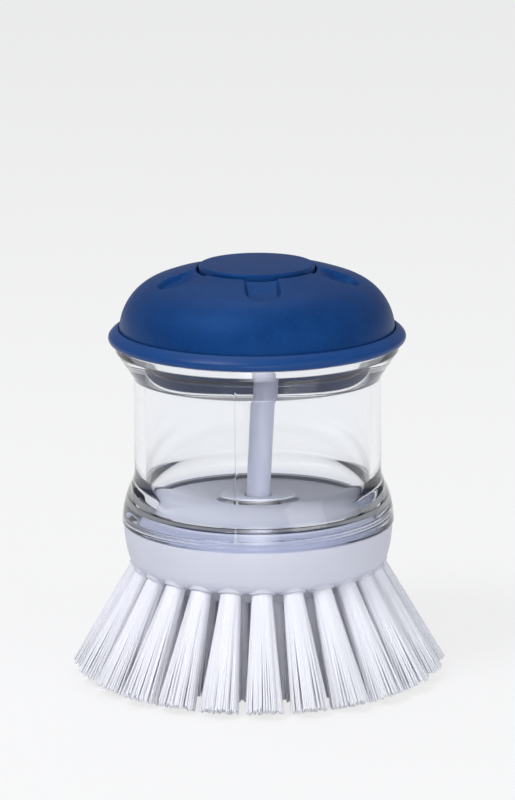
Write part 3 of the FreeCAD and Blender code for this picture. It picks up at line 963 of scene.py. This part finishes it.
bristles = {
    "rootRadius": 2.0,
    "lobes": 9,
    "lobeDepth": 0.6,
    "inHole": 5.5,
    "strandRadius": 0.23,
    "sides": 5,
    "rings": 5,
    "tipTaper": 0.7,  # radius and height of the ring that rounds a tip, in strand radii
    "tipRise": 0.6,
    "ragged": 0.35,  # mm of unevenness at the tips
    "trimUneven": 0.3,
    "sway": 0.14,
    "shell": 0.6,  # share of the strands that lie on the outside
    "shellShuffle": 0.18,  # in steps between neighbours
    "core": 0.82,  # reach of the others
    "floorGap": 0.02,
    "sharpDeg": 180.0,  # round strands, with no sharp edge
    "seed": 11,
    "rows": [
        {"node": "tufts_outer", "name": "bristlesOuter", "count": 24,
         "ring": 23.5, "rootZ": 22.0, "tilt": 26.565, "phase": 1.6, "flare": 1.8,
         "length": 24.0, "strands": 90},
        {"node": "tufts_middle", "name": "bristlesMiddle", "count": 16,
         "ring": 17.5, "rootZ": 19.4, "tilt": 14.0, "phase": 9.1, "flare": 1.4,
         "length": 20.84, "strands": 90},
        {"node": "tufts_inner", "name": "bristlesInner", "count": 10,
         "ring": 11.5, "rootZ": 19.4, "tilt": 5.0, "phase": -5.9, "flare": 1.2,
         "length": 19.75, "strands": 90},
    ],
}
goldenTurn = math.pi * (3 - math.sqrt(5))


def lobeSpots(s, radius, depth, place):
    # points of an outline of equal arcs that bulge to a radius and meet in valleys; place counts the arcs
    step = math.pi / s["lobes"]
    low = radius - depth
    middle = (radius ** 2 - low ** 2) / (2 * (radius - low * math.cos(step)))
    swing = math.atan2(low * math.sin(step), low * math.cos(step) - middle)
    lobe = np.floor(place)
    crest = (2 * lobe + 1) * step
    turn = crest + swing * (2 * (place - lobe) - 1)
    x = middle * np.cos(crest) + (radius - middle) * np.cos(turn)
    return x, middle * np.sin(crest) + (radius - middle) * np.sin(turn)


def strandSpots(s, row, dice):
    # shell strands stand evenly round the outline, the others on a sunflower pattern inside it
    shell = int(row["strands"] * s["shell"])
    core = row["strands"] - shell
    shuffle = dice.uniform(-s["shellShuffle"], s["shellShuffle"], (row["count"], shell))
    place = np.mod(s["lobes"] * (np.arange(shell) + shuffle) / shell, s["lobes"])
    k = np.arange(core) + 0.5
    turn = k * goldenTurn + dice.uniform(0, 2 * np.pi, (row["count"], 1))
    reach = s["core"] * np.sqrt(k / core)
    tip = s["rootRadius"] + row["flare"]
    ends = []
    for radius, depth in ((s["rootRadius"], 0.0), (tip, s["lobeDepth"])):
        x, y = lobeSpots(s, radius - s["strandRadius"], depth, place)
        inner = (radius - depth - s["strandRadius"]) * reach
        ends.append(np.stack([
            np.concatenate([x, inner * np.cos(turn)], 1),
            np.concatenate([y, inner * np.sin(turn)], 1),
        ], -1))
    return ends


def makeBristles(s, row, dice):
    # strands run straight from the hole to a lobed tip outline, sway a little and end on the trim plane;
    # u and v lie across a tuft and w along it, before the tuft is leaned and set on its ring
    tufts, strands, rings, sides = row["count"], row["strands"], s["rings"], s["sides"]
    shape = (tufts, strands)
    r = s["strandRadius"]
    root, tip = strandSpots(s, row, dice)
    lean = math.radians(row["tilt"])
    trim = (row["rootZ"] + tip[..., 1] * math.sin(lean)) / math.cos(lean)
    trim = trim - np.abs(dice.normal(0, s["trimUneven"], shape))
    cut = row["length"] - np.abs(dice.normal(0, s["ragged"], shape))
    length = np.minimum(trim, cut)
    w = -s["inHole"] + (length[..., None] + s["inHole"]) * np.linspace(0, 1, rings)
    free = np.clip(w / row["length"], 0, 1)
    sway = dice.normal(0, s["sway"], (2,) + shape)[..., None] * free ** 2
    u = root[..., :1] * (1 - free) + tip[..., :1] * free + sway[0]
    v = root[..., 1:] * (1 - free) + tip[..., 1:] * free + sway[1]
    level = [*range(rings), rings - 1, rings - 1]  # two more rings round the tip
    thick = r * np.array([0.0] + [1.0] * (rings - 1) + [s["tipTaper"], 0.0])
    lift = r * np.array([0.0] * rings + [s["tipRise"], 1.0])
    b = np.linspace(0, 2 * np.pi, sides, endpoint=False)
    u = u[..., level, None] + thick[:, None] * np.cos(b)
    v = v[..., level, None] + thick[:, None] * np.sin(b)
    w = np.repeat((w[..., level] - r + lift)[..., None], sides, -1)
    turn = np.radians(row["phase"] - 90 + 360 * np.arange(tufts) / tufts)[:, None, None, None]
    radial = row["ring"] + w * math.sin(lean) + v * math.cos(lean)
    x = radial * np.cos(turn) - u * np.sin(turn)
    y = radial * np.sin(turn) + u * np.cos(turn)
    z = row["rootZ"] - w * math.cos(lean) + v * math.sin(lean)
    points = np.stack([x, y, np.maximum(z, s["floorGap"])], -1)
    count = tufts * strands
    per = len(level) * sides
    one = gridFaces(len(level), sides, False)
    faces = (np.arange(count)[:, None, None] * per + one[None]).reshape(-1, 4)
    marks = {
        "along": np.clip(w / row["length"], 0, 1).ravel(),
        "strand": np.repeat(dice.uniform(0, 1, count), per),
    }
    return standFor(addMesh(row["name"], points, faces, s["sharpDeg"], marks), row["node"])


makeGrip(grip)
makeButton(button)
makeCap(cap)
print("cap, grip and button made")
makeTank(tank)
makePlate(plate)
makeStem(stem)
makeRod(rod)
makeSpring(spring)
print("reservoir and valve made")
dice = np.random.default_rng(bristles["seed"])
for bristleRow in bristles["rows"]:
    made = makeBristles(bristles, bristleRow, dice)
    print("bristles:", made.name, len(made.data.polygons), "faces")

for name, node in frame["nodes"].items():
    if not node.hide_render:
        node.data.materials.clear()
        node.data.materials.append(finishes.get(name, finishes[slotOf[name]]))
print("carried-over nodes finished")

stage = {
    "half": 3200.0,
    "floorZ": -0.05,
    "colour": (0.84, 0.85, 0.87),
    "roughness": 0.9,
    "gloss": 0.1,
    "white": (1.0, 1.0, 1.0),
    "seenWhite": 0.75,
}


def makeStage(s):
    # a flat square floor; what sees it directly, in gloss or through the clear plastic sees it paler
    x, y = np.meshgrid([-s["half"], s["half"]], [-s["half"], s["half"]])
    corners = np.stack([x, y, np.full_like(x, s["floorZ"])], -1).reshape(-1, 3) * mm
    mesh = bpy.data.meshes.new("floor")
    mesh.from_pydata(corners.tolist(), [], [(0, 1, 3, 2)])
    floor = bpy.data.objects.new("floor", mesh)
    scene.collection.objects.link(floor)
    fixed = {"Base Color": s["colour"], "Roughness": s["roughness"], "Specular IOR Level": s["gloss"]}
    paper = Finish("paper", fixed)
    wire = paper.wire
    seen = wire.ray("Camera")
    for kind in ("Glossy", "Transmission"):
        seen = wire.maths("MAXIMUM", seen, wire.ray(kind))
    glow = wire.node("ShaderNodeEmission", None, {"Color": s["white"], "Strength": 1.0})
    paper.blend(seen * s["seenWhite"], glow)
    mesh.materials.append(paper.material)


makeStage(stage)

lamps = [
    {"name": "key", "place": (-340, -330, 680), "aimZ": 60, "size": 280, "spread": 180, "power": 2.9},
    {"name": "fill", "place": (470, -480, 360), "aimZ": 45, "size": 420, "spread": 180, "power": 0.95},
    {"name": "low", "place": (0, -520, 40), "aimZ": 2, "size": 320, "spread": 40, "power": 0.095},
    {"name": "top", "place": (-60, 200, 740), "aimZ": 60, "size": 480, "spread": 180, "power": 1.0},
]
lampColour = (0.99, 0.99, 1.0)


def addLamp(s):
    data = bpy.data.lights.new(s["name"], "AREA")
    data.energy = s["power"]
    data.size = s["size"] * mm
    data.spread = math.radians(s["spread"])
    data.color = lampColour
    lamp = bpy.data.objects.new(s["name"], data)
    scene.collection.objects.link(lamp)
    lamp.matrix_world = aimed(s["place"], (0, 0, s["aimZ"]))


for lampRow in lamps:
    addLamp(lampRow)

sky = {"colour": (0.93, 0.95, 1.0), "strength": 0.30, "white": (1.0, 1.0, 1.0)}


def makeSky(s):
    # an even soft light that the camera sees as white
    world = bpy.data.worlds.new("studio")
    world.use_nodes = True
    scene.world = world
    wire = Wire(world.node_tree)
    light = wire.node("ShaderNodeBackground", None, {"Color": s["colour"], "Strength": s["strength"]})
    white = wire.node("ShaderNodeBackground", None, {"Color": s["white"], "Strength": 1.0})
    both = wire.node("ShaderNodeMixShader", None, {0: wire.ray("Camera"), 1: light, 2: white})
    wire.put(world.node_tree.nodes["World Output"].inputs["Surface"], both)


makeSky(sky)
scene.view_settings.view_transform = "Standard"
print("stage and lamps set")
